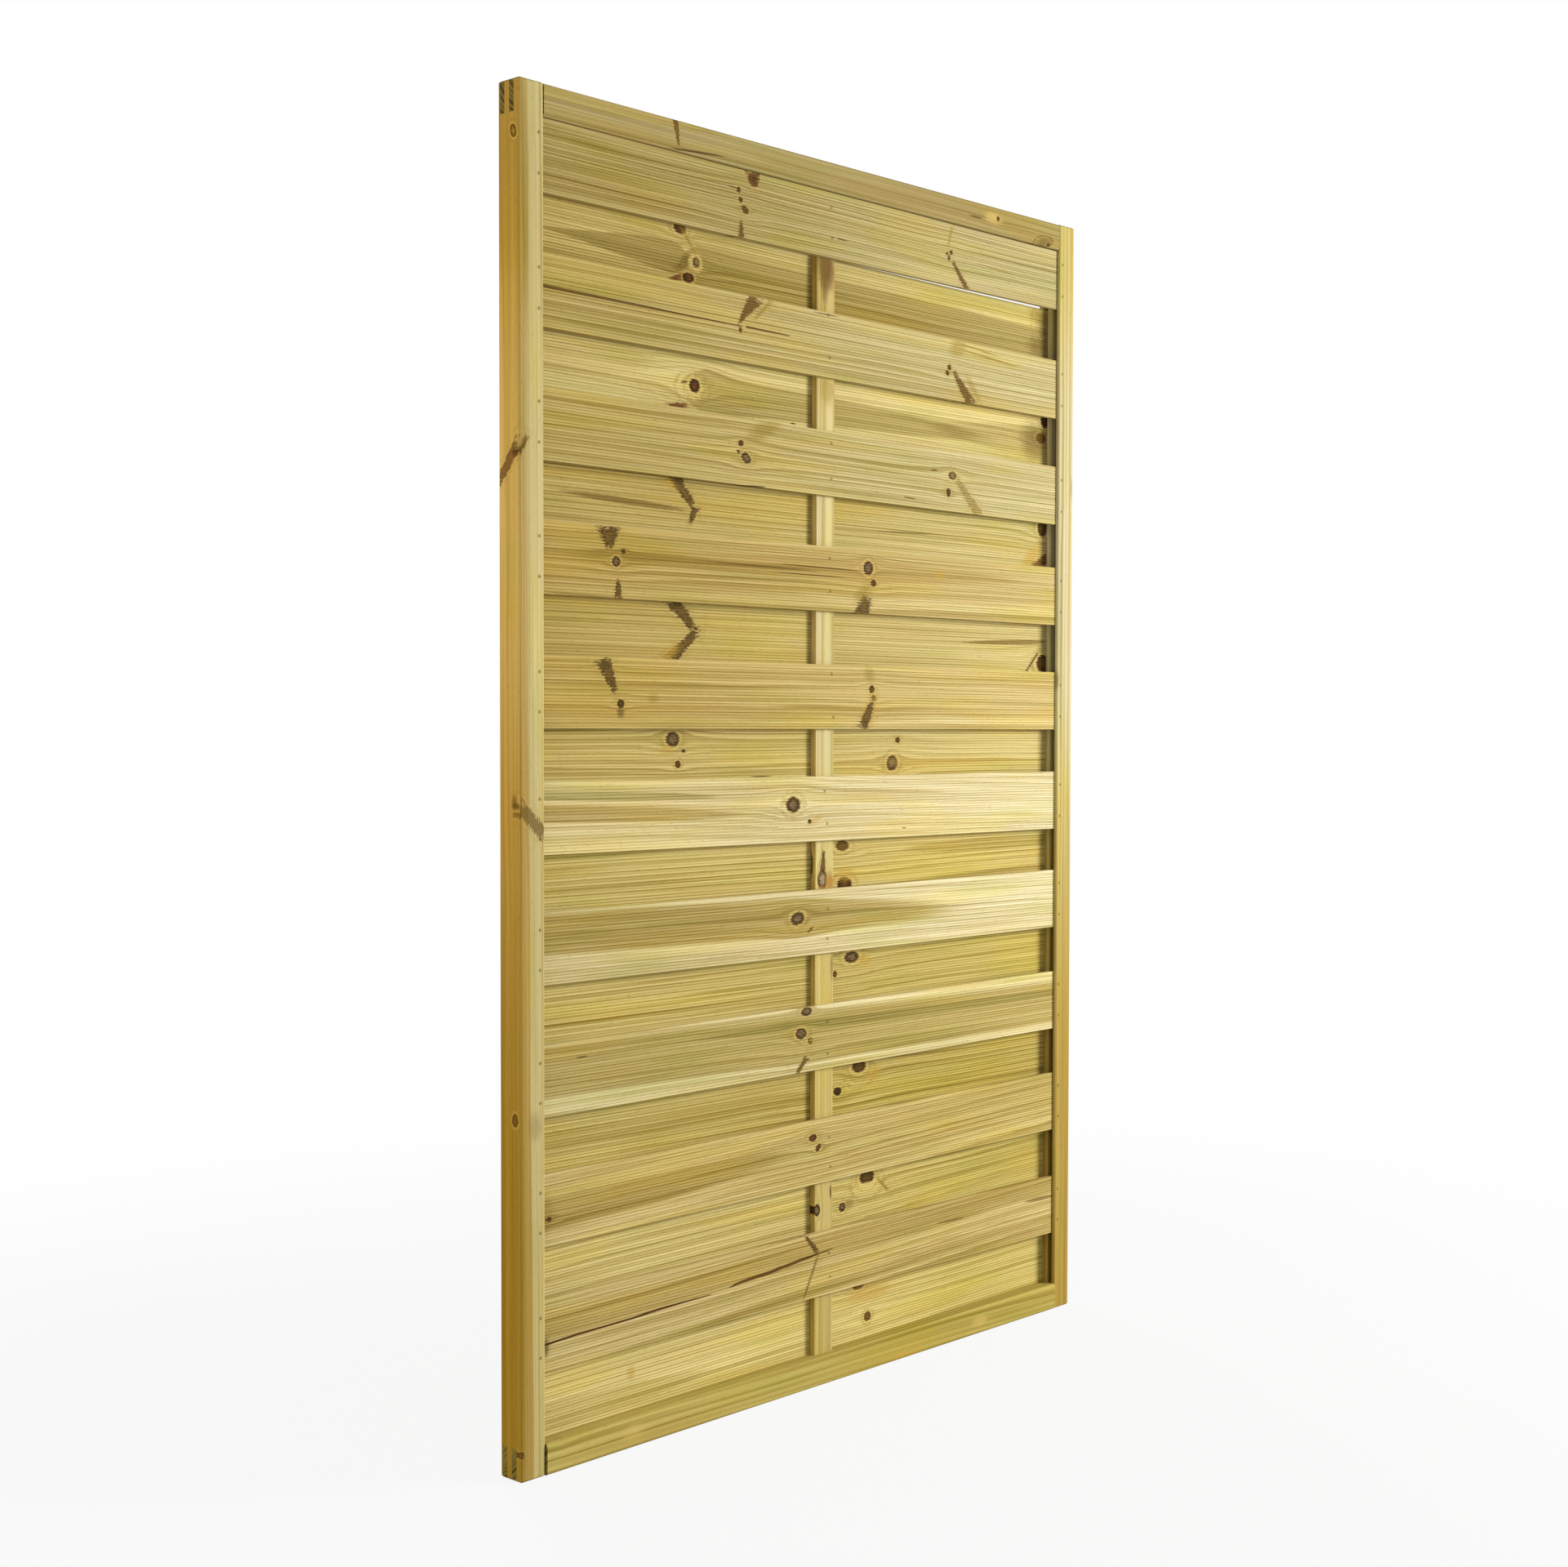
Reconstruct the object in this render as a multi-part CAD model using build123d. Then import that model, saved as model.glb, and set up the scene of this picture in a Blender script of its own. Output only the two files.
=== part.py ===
from build123d import *
from itertools import cycle
import math
import os

# Privacy fence panel of planed and pressure-treated softwood, in millimetres.
# X runs along the width, Z up, and the face side looks towards -Y. The panel stands on Z = 0,
# with X = 0 and Y = 0 in the middle of its width and of its overall depth.

# Overall size
PANEL_WIDTH = 1200.0
PANEL_HEIGHT = 1800.0

# Frame timber: two stiles that run the full height, and two rails between them
STILE_FACE = 42.0
RAIL_FACE = 42.0
FRAME_DEPTH = 42.0
STILE_ARRIS_RADIUS = 4.0
STILE_END_BEVEL = 2.0
RAIL_ARRIS_RADIUS = 5.0
BOTTOM_RAIL_PROUD = 3.0

# Corner joint: each rail end has two fingers that show on the stile's outer face
FRONT_TINE = 10.0
MIDDLE_TINE = 9.0
FINGER_THICKNESS = 9.0

# Layers of the filling, counted back from the stile's front face
FRONT_CHEEK = 4.5
GROOVE_ROOM = 0.5
SLAT_THICKNESS = 8.0
BATTEN_THICKNESS = 10.0

# Slats: reeded on the face side from the lower edge up, with a plain band along the upper edge.
# The first groove and the band are measured from the slat's edges to a groove's centre
SLAT_WIDTH = 95.0
SLAT_ENTRY = 18.0
GROOVE_END_ROOM = 2.0
MINIMUM_LAP = 6.0
REED_PITCH = 4.0
REED_LAND = 1.6
REED_DEPTH = 0.6
FIRST_GROOVE = 3.3
LEAST_UPPER_BAND = 7.5
SLAT_EDGE_BEVEL = 0.5

# The slats are nailed on by eye, from the top down: how far each front slat sits below its even
# place, how low the first back slat hangs, and by how many degrees each slat's right end is low
FRONT_SLAT_DROPS = (1.0, 5.7, 7.7, 6.2, 9.0, 3.0, -1.0, -0.5, -2.0, -3.8)
FRONT_SLAT_TILTS = (0.03, 0.44, 0.65, 0.35, 0.3, 0.34, 0.05, -0.12, -0.1, 0.42)
FIRST_BACK_SLAT_DROP = 3.8
BACK_SLAT_TILTS = (0.37, 0.34, 0.3, 0.27, 0.31, 0.19, 0.22, 0.25, 0.05, 0.0)

# Drying splits in the face of two front slats. Each place of a split has its distance from the
# slat's left end, its height from the slat's middle and half its width there
SPLIT_DEPTH = 5.0
FRONT_SLAT_SPLITS = {
    2: (
        ((-5.0, 4.9, 2.2), (196.0, 3.7, 1.6), (276.0, 3.1, 0.9), (388.0, 2.8, 0.3)),
        ((396.0, 3.3, 1.2), (486.0, 2.6, 0.3)),
    ),
    10: (
        ((-5.0, -13.2, 1.7), (76.0, -9.4, 1.1), (176.0, -7.1, 1.3), (226.0, -4.3, 1.6), (326.0, -2.3, 0.3)),
        ((364.0, 0.8, 0.4), (386.0, 3.9, 2.0), (446.0, 7.4, 2.3), (516.0, 13.9, 2.2), (584.0, 18.9, 0.3)),
    ),
}

# Centre batten, which stands a little to the left of the panel's middle
BATTEN_WIDTH = 40.0
BATTEN_ARRIS_RADIUS = 1.2
BATTEN_SHIFT = -3.5

# Where wood broke out beside a knot, at the back of the batten's left side
BREAK_OUT_TOP = 785.0
BREAK_OUT_LENGTH = 26.0
BREAK_OUT_SHOULDER = 5.0
BREAK_OUT_REACH = 5.5
BREAK_OUT_DEPTH = 6.0

# Flat wire brads, driven a little below the surface
BRAD_WIDTH = 1.4
BRAD_HEIGHT = 2.8
BRAD_SINK = 0.6
BRAD_BITE = 5.0
BRAD_EDGE_DISTANCE = 22.0
STILE_BRAD_INSET = 9.0

# Where the two brads of each front slat went in: sideways from the batten's middle line, and up
# from the slat's middle
FRONT_BATTEN_BRADS = (
    ((3.5, 27.0), (5.5, -20.0)),
    ((-3.5, 44.0), (0.5, -20.0)),
    ((4.5, 28.0), (4.5, -22.0)),
    ((1.5, 30.0), (2.5, -18.0)),
    ((6.5, 32.0), (10.5, -29.0)),
    ((-8.5, 27.0), (-2.5, -24.0)),
    ((-0.5, 18.0), (-1.5, -27.0)),
    ((-1.5, 22.0), (-0.5, -25.0)),
    ((3.5, 18.0), (6.5, -25.0)),
    ((3.5, 12.0), (6.5, -22.0)),
)

# Corner pins, measured from the stile's outer face and from its end
PIN_INSET = 15.5
PIN_SPACING = 16.5
PIN_END_DISTANCE = 14.5

# How far a cut runs past the face that it opens
OVERRUN = 5.0

# Places that follow from the sizes
BOTTOM_RAIL_FRONT = -(FRAME_DEPTH + BOTTOM_RAIL_PROUD) / 2
STILE_FRONT = BOTTOM_RAIL_FRONT + BOTTOM_RAIL_PROUD
STILE_BACK = STILE_FRONT + FRAME_DEPTH
FRONT_SLAT_FACE = STILE_FRONT + FRONT_CHEEK + GROOVE_ROOM
BATTEN_FACE = FRONT_SLAT_FACE + SLAT_THICKNESS
BACK_SLAT_FACE = BATTEN_FACE + BATTEN_THICKNESS
BACK_SLAT_REAR = BACK_SLAT_FACE + SLAT_THICKNESS
STILE_OUTER = PANEL_WIDTH / 2
STILE_INNER = STILE_OUTER - STILE_FACE
OPENING_BOTTOM = RAIL_FACE
OPENING_TOP = PANEL_HEIGHT - RAIL_FACE


def block(x_range, y_range, z_range):
    """A box between two limits on each axis."""
    ranges = (x_range, y_range, z_range)
    middle = [(low + high) / 2 for low, high in ranges]
    size = [high - low for low, high in ranges]
    return Pos(*middle) * Box(*size)


def mirrored(limits, side):
    """Limits along X for the right side (+1), or the same on the left side (-1)."""
    return tuple(sorted(side * limit for limit in limits))


# Reeded slat

def reed_grooves():
    """Heights of the groove centres, from the middle of the slat."""
    reeds = int((SLAT_WIDTH - FIRST_GROOVE - LEAST_UPPER_BAND) / REED_PITCH)
    first = FIRST_GROOVE - SLAT_WIDTH / 2
    return [first + index * REED_PITCH for index in range(reeds + 1)]


def crown_near(wanted):
    """Height of the crown of a reed, or of the upper band's middle, next to a wanted height."""
    grooves = reed_grooves()
    crowns = [(low + high) / 2 for low, high in zip(grooves, grooves[1:] + [SLAT_WIDTH / 2])]
    return min(crowns, key=lambda crown: abs(crown - wanted))


def slat_profile():
    """Section of a slat in Y and Z: a comb of shallow grooves on the face, plain behind."""
    half = SLAT_WIDTH / 2
    half_groove = (REED_PITCH - REED_LAND) / 2
    points = [(SLAT_EDGE_BEVEL, -half), (0, -half + SLAT_EDGE_BEVEL)]
    for height in reed_grooves():
        points += [(0, height - half_groove), (REED_DEPTH, height), (0, height + half_groove)]
    points += [(0, half - SLAT_EDGE_BEVEL), (SLAT_EDGE_BEVEL, half)]
    points += [(SLAT_THICKNESS, half), (SLAT_THICKNESS, -half)]
    return Plane.YZ * make_face(Polyline(*points, close=True))


def slat_blank():
    """A slat before it is nailed: as long as the opening and its entry into both stiles."""
    return extrude(slat_profile(), amount=STILE_INNER + SLAT_ENTRY, both=True)


def split_cut(places):
    """A tapered prism that opens one drying split from the slat's face inwards."""
    left_end = -(STILE_INNER + SLAT_ENTRY)
    upper = [(left_end + along, height + half) for along, height, half in places]
    lower = [(left_end + along, height - half) for along, height, half in reversed(places)]
    outline = make_face(Polyline(*upper, *lower, close=True))
    return Pos(0, SPLIT_DEPTH, 0) * extrude(Plane.XZ * outline, amount=SPLIT_DEPTH + OVERRUN)


# Where the slats go

def slat_places():
    """Middle height and tilt of each slat, front and back slats apart, from the top down."""
    opening = OPENING_TOP - OPENING_BOTTOM
    steps = math.ceil((opening - SLAT_WIDTH) / (SLAT_WIDTH - MINIMUM_LAP))
    pitch = (opening - SLAT_WIDTH) / steps
    even = [OPENING_TOP - SLAT_WIDTH / 2 - index * pitch for index in range(steps + 1)]
    front = [height - FRONT_SLAT_DROPS[index % len(FRONT_SLAT_DROPS)]
             for index, height in enumerate(even[0::2])]
    back = [(above + below) / 2 for above, below in zip(front, front[1:])]
    back[0] -= FIRST_BACK_SLAT_DROP
    if len(even) % 2 == 0:
        back.append(even[-1])
    return list(zip(front, cycle(FRONT_SLAT_TILTS))), list(zip(back, cycle(BACK_SLAT_TILTS)))


# Brads

def brad(x, y_range, z):
    """One brad along Y."""
    half_width = BRAD_WIDTH / 2
    half_height = BRAD_HEIGHT / 2
    return block((x - half_width, x + half_width), y_range, (z - half_height, z + half_height))


def slat_brads(place, spots, y_range):
    """Brads of one slat at spots along it, each through the crown nearest to its height."""
    middle, tilt = place
    fall = math.tan(math.radians(tilt))
    return [brad(x, y_range, middle - x * fall + crown_near(height)) for x, height in spots]


def brads_of(place, is_front, number):
    """Brads of one slat: into the batten, and through the stiles' cheeks into its two ends."""
    offset = SLAT_WIDTH / 2 - BRAD_EDGE_DISTANCE
    pair = ((0.0, offset), (0.0, -offset))
    if is_front:
        pair = FRONT_BATTEN_BRADS[(number - 1) % len(FRONT_BATTEN_BRADS)]
        batten_range = (FRONT_SLAT_FACE + BRAD_SINK, BATTEN_FACE + BRAD_BITE)
        stile_range = (STILE_FRONT + BRAD_SINK, FRONT_SLAT_FACE + BRAD_BITE)
    else:
        batten_range = (BACK_SLAT_FACE - BRAD_BITE, BACK_SLAT_REAR - BRAD_SINK)
        stile_range = (BACK_SLAT_REAR - BRAD_BITE, STILE_BACK - BRAD_SINK)
    batten_spots = [(BATTEN_SHIFT + x, height) for x, height in pair]
    stile_x = STILE_INNER + STILE_BRAD_INSET
    return {
        "batten": slat_brads(place, batten_spots, batten_range),
        "left_stile": slat_brads(place, [(-stile_x, offset), (-stile_x, -offset)], stile_range),
        "right_stile": slat_brads(place, [(stile_x, offset), (stile_x, -offset)], stile_range),
    }


def corner_pins(side):
    """Pins through one stile's front tines into the front fingers of both rails."""
    y_range = (STILE_FRONT + BRAD_SINK, STILE_FRONT + FRONT_TINE + FINGER_THICKNESS + BRAD_BITE)
    outer = STILE_OUTER - PIN_INSET
    return [brad(side * x, y_range, height)
            for x in (outer, outer - PIN_SPACING)
            for height in (PIN_END_DISTANCE, PANEL_HEIGHT - PIN_END_DISTANCE)]


# Frame

def finger_layers():
    """Limits along Y of the two fingers of a corner joint."""
    first = STILE_FRONT + FRONT_TINE
    second = first + FINGER_THICKNESS + MIDDLE_TINE
    return [(start, start + FINGER_THICKNESS) for start in (first, second)]


def stile_blank(side):
    """A stile with rounded arrises and bevelled ends, before its slots and grooves."""
    section = RectangleRounded(STILE_FACE, FRAME_DEPTH, STILE_ARRIS_RADIUS)
    post = extrude(section, amount=PANEL_HEIGHT)
    ends = post.edges().group_by(Axis.Z)
    bevelled = chamfer(ends[0] + ends[-1], STILE_END_BEVEL)
    return Pos(side * (STILE_OUTER - STILE_FACE / 2), STILE_FRONT + FRAME_DEPTH / 2, 0) * bevelled


def stile(side, fixings):
    """A stile with a stopped groove for each plane of slats and two open slots at each end."""
    groove_x = mirrored((STILE_INNER - OVERRUN, STILE_INNER + SLAT_ENTRY + GROOVE_END_ROOM), side)
    groove_z = (OPENING_BOTTOM, OPENING_TOP)
    slot_x = mirrored((STILE_INNER - OVERRUN, STILE_OUTER + OVERRUN), side)
    cuts = [
        block(groove_x, (FRONT_SLAT_FACE - GROOVE_ROOM, BATTEN_FACE), groove_z),
        block(groove_x, (BACK_SLAT_FACE, BACK_SLAT_REAR + GROOVE_ROOM), groove_z),
    ]
    for layer in finger_layers():
        cuts.append(block(slot_x, layer, (-OVERRUN, OPENING_BOTTOM)))
        cuts.append(block(slot_x, layer, (OPENING_TOP, PANEL_HEIGHT + OVERRUN)))
    return stile_blank(side) - cuts - fixings


def rail(front, z_range, fixings):
    """A rail between the stiles, with fingers that end flush with the stiles' outer faces."""
    section = Plane.YZ * RectangleRounded(FRAME_DEPTH, RAIL_FACE, RAIL_ARRIS_RADIUS)
    bar = extrude(section, amount=STILE_INNER, both=True)
    made = Pos(0, front + FRAME_DEPTH / 2, sum(z_range) / 2) * bar
    for side in (-1, 1):
        finger_x = mirrored((STILE_INNER, STILE_OUTER), side)
        envelope = stile_blank(side)
        for layer in finger_layers():
            made += block(finger_x, layer, z_range) & envelope
    return made - fixings


def break_out():
    """The wedge of wood that is missing from the back of the batten's left side."""
    back = BACK_SLAT_FACE + OVERRUN
    front = BACK_SLAT_FACE - BREAK_OUT_REACH
    shoulder = BREAK_OUT_TOP - BREAK_OUT_SHOULDER
    foot = BREAK_OUT_TOP - BREAK_OUT_LENGTH
    points = [(back, BREAK_OUT_TOP), (BACK_SLAT_FACE, BREAK_OUT_TOP), (front, shoulder),
              (BACK_SLAT_FACE, foot), (back, foot)]
    wedge = extrude(Plane.YZ * make_face(Polyline(*points, close=True)), amount=BREAK_OUT_DEPTH + OVERRUN)
    return Pos(BATTEN_SHIFT - BATTEN_WIDTH / 2 - OVERRUN, 0, 0) * wedge


def batten(fixings):
    """The upright between the two planes of slats, butted between the rails."""
    section = RectangleRounded(BATTEN_WIDTH, BATTEN_THICKNESS, BATTEN_ARRIS_RADIUS)
    upright = extrude(section, amount=OPENING_TOP - OPENING_BOTTOM)
    seated = Pos(BATTEN_SHIFT, BATTEN_FACE + BATTEN_THICKNESS / 2, OPENING_BOTTOM) * upright
    return seated - break_out() - fixings


# Assembly

front_places, back_places = slat_places()
blank = slat_blank()
nodes = {}
fixings = {}
for is_front, places in ((True, front_places), (False, back_places)):
    layer = "front" if is_front else "back"
    face = FRONT_SLAT_FACE if is_front else BACK_SLAT_FACE
    for number, place in enumerate(places, start=1):
        brads = brads_of(place, is_front, number)
        for target, pair in brads.items():
            fixings.setdefault(f"{layer}_{target}_brads", []).extend(pair)
        height, tilt = place
        splits = FRONT_SLAT_SPLITS.get(number, ()) if is_front else ()
        board = blank - [split_cut(places) for places in splits] if splits else blank
        seated = Pos(0, face, height) * Rot(0, tilt, 0) * board
        nodes[f"{layer}_slat_{number:02d}"] = seated - sum(brads.values(), [])

pins = {"left_stile": corner_pins(-1), "right_stile": corner_pins(1)}
fixings["corner_pins"] = sum(pins.values(), [])
for name, side in (("left_stile", -1), ("right_stile", 1)):
    brads = fixings[f"front_{name}_brads"] + fixings[f"back_{name}_brads"]
    nodes[name] = stile(side, brads + pins[name])
nodes["top_rail"] = rail(STILE_FRONT, (OPENING_TOP, PANEL_HEIGHT), fixings["corner_pins"])
nodes["bottom_rail"] = rail(BOTTOM_RAIL_FRONT, (0.0, OPENING_BOTTOM), fixings["corner_pins"])
nodes["centre_batten"] = batten(fixings["front_batten_brads"] + fixings["back_batten_brads"])
for name, brads in fixings.items():
    nodes[name] = Compound(brads)

os.makedirs("parts", exist_ok=True)
for name, shape in nodes.items():
    export_step(shape, f"parts/{name}.step")
    print(f"{name}: {len(shape.solids())} solid(s), {shape.volume / 1000:.1f} cm3")
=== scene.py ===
# %% [markdown]
# A privacy fence panel: a frame of two stiles and two rails, and twenty reeded slats that lie by turns in
# front of and behind one upright batten. Every piece is softwood that was pressure treated, so the panel
# is straw yellow with a touch of green. The shapes are all in the packed model, reeds and joints too, so
# this script has one job: to give each piece of timber its own grain, knots, splits and stains, and to
# light it as a studio would.

# %% Load the packed panel
import math
from collections import namedtuple

import bpy
from mathutils import Matrix, Vector


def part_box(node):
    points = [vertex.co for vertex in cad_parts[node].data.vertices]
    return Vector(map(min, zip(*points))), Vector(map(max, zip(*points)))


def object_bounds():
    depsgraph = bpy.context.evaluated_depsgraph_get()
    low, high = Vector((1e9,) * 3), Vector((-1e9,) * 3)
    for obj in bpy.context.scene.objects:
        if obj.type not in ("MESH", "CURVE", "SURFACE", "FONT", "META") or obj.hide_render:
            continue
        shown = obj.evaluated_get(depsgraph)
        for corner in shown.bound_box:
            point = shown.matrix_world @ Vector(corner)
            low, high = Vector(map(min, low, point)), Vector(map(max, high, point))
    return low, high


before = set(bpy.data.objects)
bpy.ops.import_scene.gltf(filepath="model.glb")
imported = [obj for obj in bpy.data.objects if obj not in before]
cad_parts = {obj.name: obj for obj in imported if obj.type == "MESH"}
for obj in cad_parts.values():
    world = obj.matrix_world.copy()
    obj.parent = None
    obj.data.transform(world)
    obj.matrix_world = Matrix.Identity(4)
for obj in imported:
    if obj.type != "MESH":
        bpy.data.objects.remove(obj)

cad_box = [list(corner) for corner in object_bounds()]
print("pieces in the frame:", len(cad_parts), "box in metres:", cad_box)

# %% [markdown]
# Timber is a solid, so its pattern is worked out from the place of each point in the board and not from a
# picture wrapped round it. That takes a lot of arithmetic on sockets. One small class wraps a socket, so
# that the sums can be written as plain Python: an operator adds a Math node, and one method makes every
# other kind of node.

# %% A socket that can stand in a sum
class Wire:
    """An output socket of the tree that is being built."""

    tree = None

    def __init__(self, socket):
        self.socket = socket

    @classmethod
    def node(cls, kind, settings=None, sockets=None, output=0):
        """Adds one node: its settings first, then the values or links of its sockets."""
        made = cls.tree.nodes.new(kind)
        for name, value in (settings or {}).items():
            setattr(made, name, value)
        for key, value in (sockets or {}).items():
            if isinstance(value, Wire):
                cls.tree.links.new(value.socket, made.inputs[key])
            else:
                made.inputs[key].default_value = value
        return cls(made.outputs[output])

    def out(self, name):
        """Another output of the node that this socket belongs to."""
        return Wire(self.socket.node.outputs[name])

    def math(self, operation, *others):
        """A Math node with this socket as its first value."""
        return Wire.node("ShaderNodeMath", {"operation": operation}, dict(enumerate((self, *others))))

    def __add__(self, other):
        return self.math("ADD", other)

    __radd__ = __add__

    def __sub__(self, other):
        return self.math("SUBTRACT", other)

    def __rsub__(self, other):
        return Wire.node("ShaderNodeMath", {"operation": "SUBTRACT"}, {0: other, 1: self})

    def __mul__(self, other):
        return self.math("MULTIPLY", other)

    __rmul__ = __mul__

    def __truediv__(self, other):
        return self.math("DIVIDE", other)

    def __rtruediv__(self, other):
        return Wire.node("ShaderNodeMath", {"operation": "DIVIDE"}, {0: other, 1: self})


print("a socket now takes part in:", [name for name in vars(Wire) if name.startswith("__r")])

# %% [markdown]
# A few short functions do what comes up again and again: a soft step, a belt between two soft steps, a mix
# of two colours, and noise. A material is started in one place too, so that the tree being built is
# always the right one.

# %% Small helpers on sockets
def smooth(value, low, high):
    """0 up to low, 1 from high on, with a soft step between."""
    sockets = {"Value": value, "From Min": low, "From Max": high}
    return Wire.node("ShaderNodeMapRange", {"interpolation_type": "SMOOTHSTEP"}, sockets)


def belt(value, rise, fall):
    """1 between two soft steps, and 0 before the first and after the second."""
    return smooth(value, *rise) - smooth(value, *fall)


def mix(amount, below, above, way="MIX"):
    """The colour below with the colour above laid over it."""
    settings = {"data_type": "RGBA", "blend_type": way}
    return Wire.node("ShaderNodeMix", settings, {0: amount, 6: below, 7: above}, output=2)


def point(x, y, z):
    """A place from three numbers or sockets."""
    return Wire.node("ShaderNodeCombineXYZ", None, {0: x, 1: y, 2: z})


def noise(place, detail=2.0, scale=1.0):
    """Even noise from 0 to 1, with lumps about one unit across."""
    return Wire.node("ShaderNodeTexNoise", None, {"Vector": place, "Scale": scale, "Detail": detail})


def feed(shader, name, value):
    """Leads a socket into an input of a node that the tree already has."""
    Wire.tree.links.new(value.socket, shader.inputs[name])


def new_material(name):
    """A material whose tree is the one being built, and its plain shader."""
    material = bpy.data.materials.new(name)
    material.use_nodes = True
    Wire.tree = material.node_tree
    return material, material.node_tree.nodes["Principled BSDF"]


def coat(piece, material):
    """Makes one material the only one on a piece."""
    piece.data.materials.clear()
    piece.data.materials.append(material)


def colour(red, green, blue):
    """A screen colour from 0 to 255 as the linear colour that a shader takes."""
    screen = [part / 255 for part in (red, green, blue)]
    linear = [((part + 0.055) / 1.055) ** 2.4 if part > 0.04 else part / 12.92 for part in screen]
    return (*linear, 1.0)


print("a mid straw in linear values:", [round(part, 3) for part in colour(214, 199, 137)])

# %% [markdown]
# Where the wood is dark or stained is a short list for each board, as a joiner would mark it with a
# pencil: how far along from the middle, how far up from the middle line, half the length, half the height
# and the lean, in millimetres and degrees. A mark is an ellipse, a wedge or only an outline, and its edge
# is ragged. Knots also push the grain aside. Marks from a list are quicker to correct than one big noise,
# which never puts a knot where the real board has it.

# %% The colours of marks
KNOT_RIM = colour(70, 51, 24)
KNOT_CORE = colour(120, 101, 70)
KNOT_DARK = colour(54, 36, 14)
BARK_RED = colour(104, 64, 30)
BRANCH = colour(94, 70, 29)
BRANCH_PALE = colour(110, 84, 40)
PITH_GREY = colour(158, 140, 108)
CLEAR_DISC = colour(206, 184, 112)
OLIVE_STAIN = colour(144, 122, 48)
HONEY_STAIN = colour(184, 149, 64)
PITCH_BROWN = colour(124, 100, 48)
IRON_DARK = colour(62, 54, 36)
HONEY_RING = colour(206, 176, 102)
OLIVE_RING = colour(150, 126, 58)
AMBER = colour(164, 122, 58)
print("the darkest mark in linear values:", [round(part, 3) for part in KNOT_DARK[:3]])

# %% The kinds of mark
PLACE_FIELDS = "along across long tall lean taper"
LOOK_FIELDS = "tint core strength edge ragged bend ring shape"
Mark = namedtuple("Mark", f"{PLACE_FIELDS} {LOOK_FIELDS}", defaults=(0.0, 0.0, "round"))
LARGE_KNOT = 7.0


def knot(along, across, long, tall, lean=0, tint=KNOT_RIM, core=None, bend=1.0, ring=1.0):
    """A branch cut square across: a dark rim, if large a greyer core, and grain that parts round it."""
    core = core or (KNOT_CORE if max(long, tall) > LARGE_KNOT else BRANCH)
    return Mark(along, across, long, tall, lean, 0.0, tint, core,
                strength=1.0, edge=0.18, ragged=0.6, bend=bend, ring=ring)


def spike(along, across, long, tall, lean, taper=0.0, tint=BRANCH, core=BRANCH_PALE, strength=0.96):
    """A branch cut along its length: a wedge that crosses the board at a slant, narrow at the pith."""
    return Mark(along, across, long, tall, lean, taper, tint, core, strength,
                edge=0.3, ragged=2.2, bend=0.3, ring=0.5, shape="wedge")


def stain(along, across, long, tall, lean=0, tint=OLIVE_STAIN, strength=0.5, taper=0.0):
    """A soft patch of another colour, with no edge of its own."""
    return Mark(along, across, long, tall, lean, taper, tint, tint, strength, edge=0.6, ragged=1.2)


def pocket(along, across, long, tall, lean=0, taper=0.0, tint=PITCH_BROWN, strength=0.85):
    """A long lens of dried pitch, or a dark streak in the grain."""
    return Mark(along, across, long, tall, lean, taper, tint, tint, strength, edge=0.25, ragged=0.5)


def eye(along, across, long, tall, lean=0, tint=OLIVE_RING, strength=0.5):
    """One year's ring that shows as a closed line round a knot."""
    return Mark(along, across, long, tall, lean, 0.0, tint, tint, strength,
                edge=0.06, ragged=0.5, shape="outline")


def disc(along, across, long, tall):
    """The clear wood close round a knot, which the heartwood stops at."""
    return Mark(along, across, long, tall, 0, 0.0, CLEAR_DISC, CLEAR_DISC,
                strength=0.75, edge=0.2, ragged=0.5)


print("mark kinds:", [kind.__name__ for kind in (knot, spike, stain, pocket, eye, disc)])

# %% [markdown]
# Heartwood and sapwood lie in bands between two years' rings, so a band follows the grain. It only tones
# the wood below it, by a share of its red, green and blue, and the lines of the grain stay. That is what
# makes a band look grown and not painted on.

# %% Bands of heartwood and sapwood
Band = namedtuple("Band", "along across long tall taper tone strength edge start stop")
SOFT_BAND = 0.5

HEART = (0.66, 0.59, 0.36, 1.0)
GREY_HEART = (0.64, 0.60, 0.48, 1.0)
BROWN_HEART = (0.78, 0.66, 0.46, 1.0)
ORANGE_HEART = (0.76, 0.58, 0.29, 1.0)
GREEN_HEART = (0.62, 0.64, 0.44, 1.0)
SAP = (1.14, 1.17, 1.3, 1.0)
YELLOW_SAP = (1.08, 1.04, 0.82, 1.0)


def band(across, tall, tone, strength=1.0, along=0, long=2500, edge=0.14, start=None, stop=None, taper=0.0):
    """A stretch between two heights, which thins out towards its ends or begins or stops at a knot."""
    return Band(along, across, long, tall, taper, tone, strength, edge, start, stop)


def patch(across, tall, tone, strength, along, long):
    """A stretch of another tone with no edge of its own."""
    return band(across, tall, tone, strength, along, long, SOFT_BAND)


print("a band of heartwood keeps these shares of the colour below:", HEART[:3])

# %% [markdown]
# One timber holds what makes a board itself: the colour of its early wood, how much darker its late wood
# is, how far its growth rings lie apart, where the pith of the tree was, the slope of the grain, and its
# marks and bands. The rings are real cylinders round the pith, so the same sum gives lines along a face
# and curved stripes on the ends.

# %% What makes a board itself
WOOD_FIELDS = "seed pale drift spacing pith slope lines"
LIST_FIELDS = "marks bands cracks side_marks side_tone"
Timber = namedtuple("Timber", f"{WOOD_FIELDS} {LIST_FIELDS}")

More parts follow.
